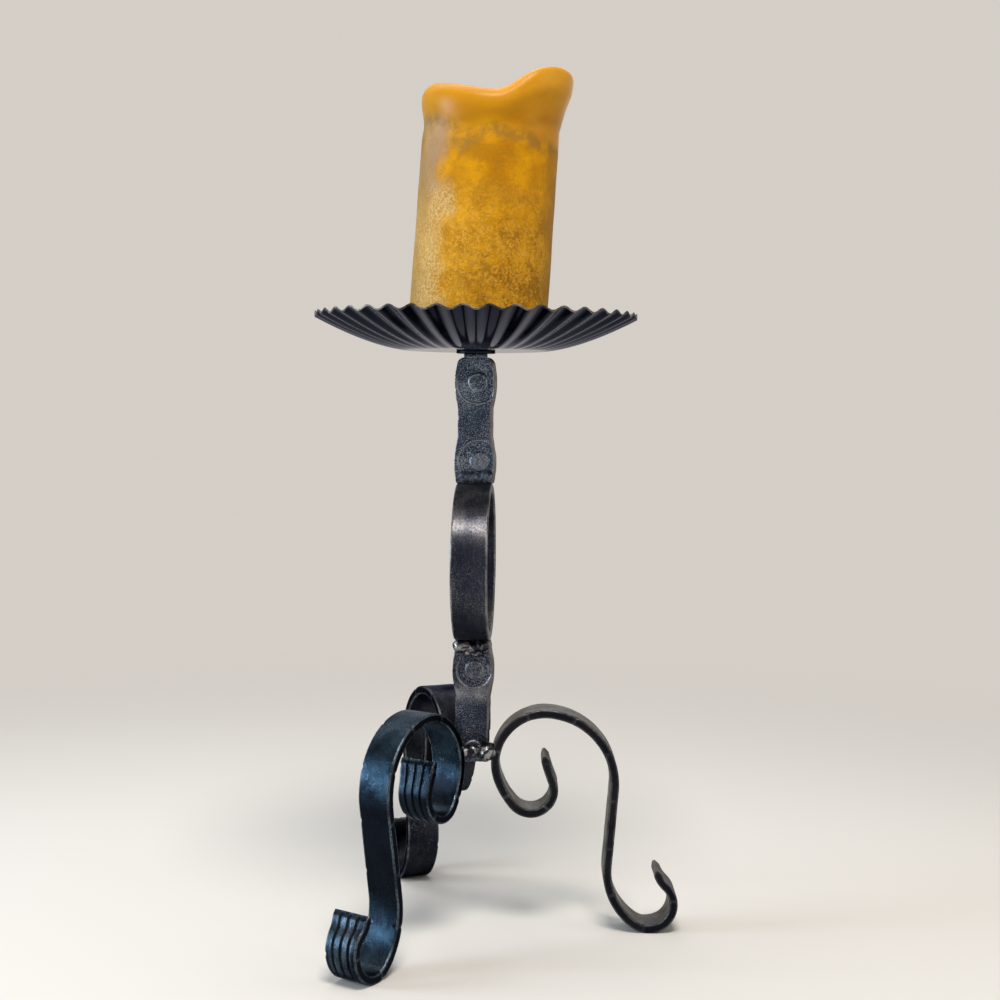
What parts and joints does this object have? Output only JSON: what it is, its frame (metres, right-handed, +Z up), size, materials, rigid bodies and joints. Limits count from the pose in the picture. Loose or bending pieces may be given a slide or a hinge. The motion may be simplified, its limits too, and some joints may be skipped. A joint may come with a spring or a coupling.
{
  "type": "candle holder",
  "caption": "Standing candle holder of scrolled flat-bar legs, a stem with an open ring, a fluted drip pan with a pricket, and a pillar candle that lifts off.",
  "frame": {"origin": "on the floor, under the stem's axis", "axes": "+Z up along the stem; the stem's stamped faces look along -Y; +X to the right, along the right-hand leg"},
  "size_m": [0.2057, 0.2125, 0.4757],
  "materials": {
    "blackened_steel": "blackened hammered steel, satin, with worn edges",
    "weld_metal": "rough weld beads under thin black finish",
    "wax": "mottled amber wax, satin, smoother at the rim",
    "wick": "braided cotton, charred"
  },
  "bodies": {
    "stand": {"leg_right": "blackened_steel", "leg_front": "blackened_steel", "leg_back": "blackened_steel", "lower_stem": "blackened_steel", "stem_ring": "blackened_steel", "upper_stem": "blackened_steel", "weld_right": "weld_metal", "weld_front": "weld_metal", "weld_back": "weld_metal", "weld_ring_bottom": "weld_metal", "weld_ring_top": "weld_metal", "pan_washer": "blackened_steel", "drip_pan": "blackened_steel", "pricket": "blackened_steel"},
    "pillar": {"candle": "wax", "wick": "wick"}
  },
  "joints": [
    {"name": "candle_lift", "type": "slide", "parent": "stand", "child": "pillar", "axis": [0, 0, 1], "range_m": [0, 0.06]}
  ]
}
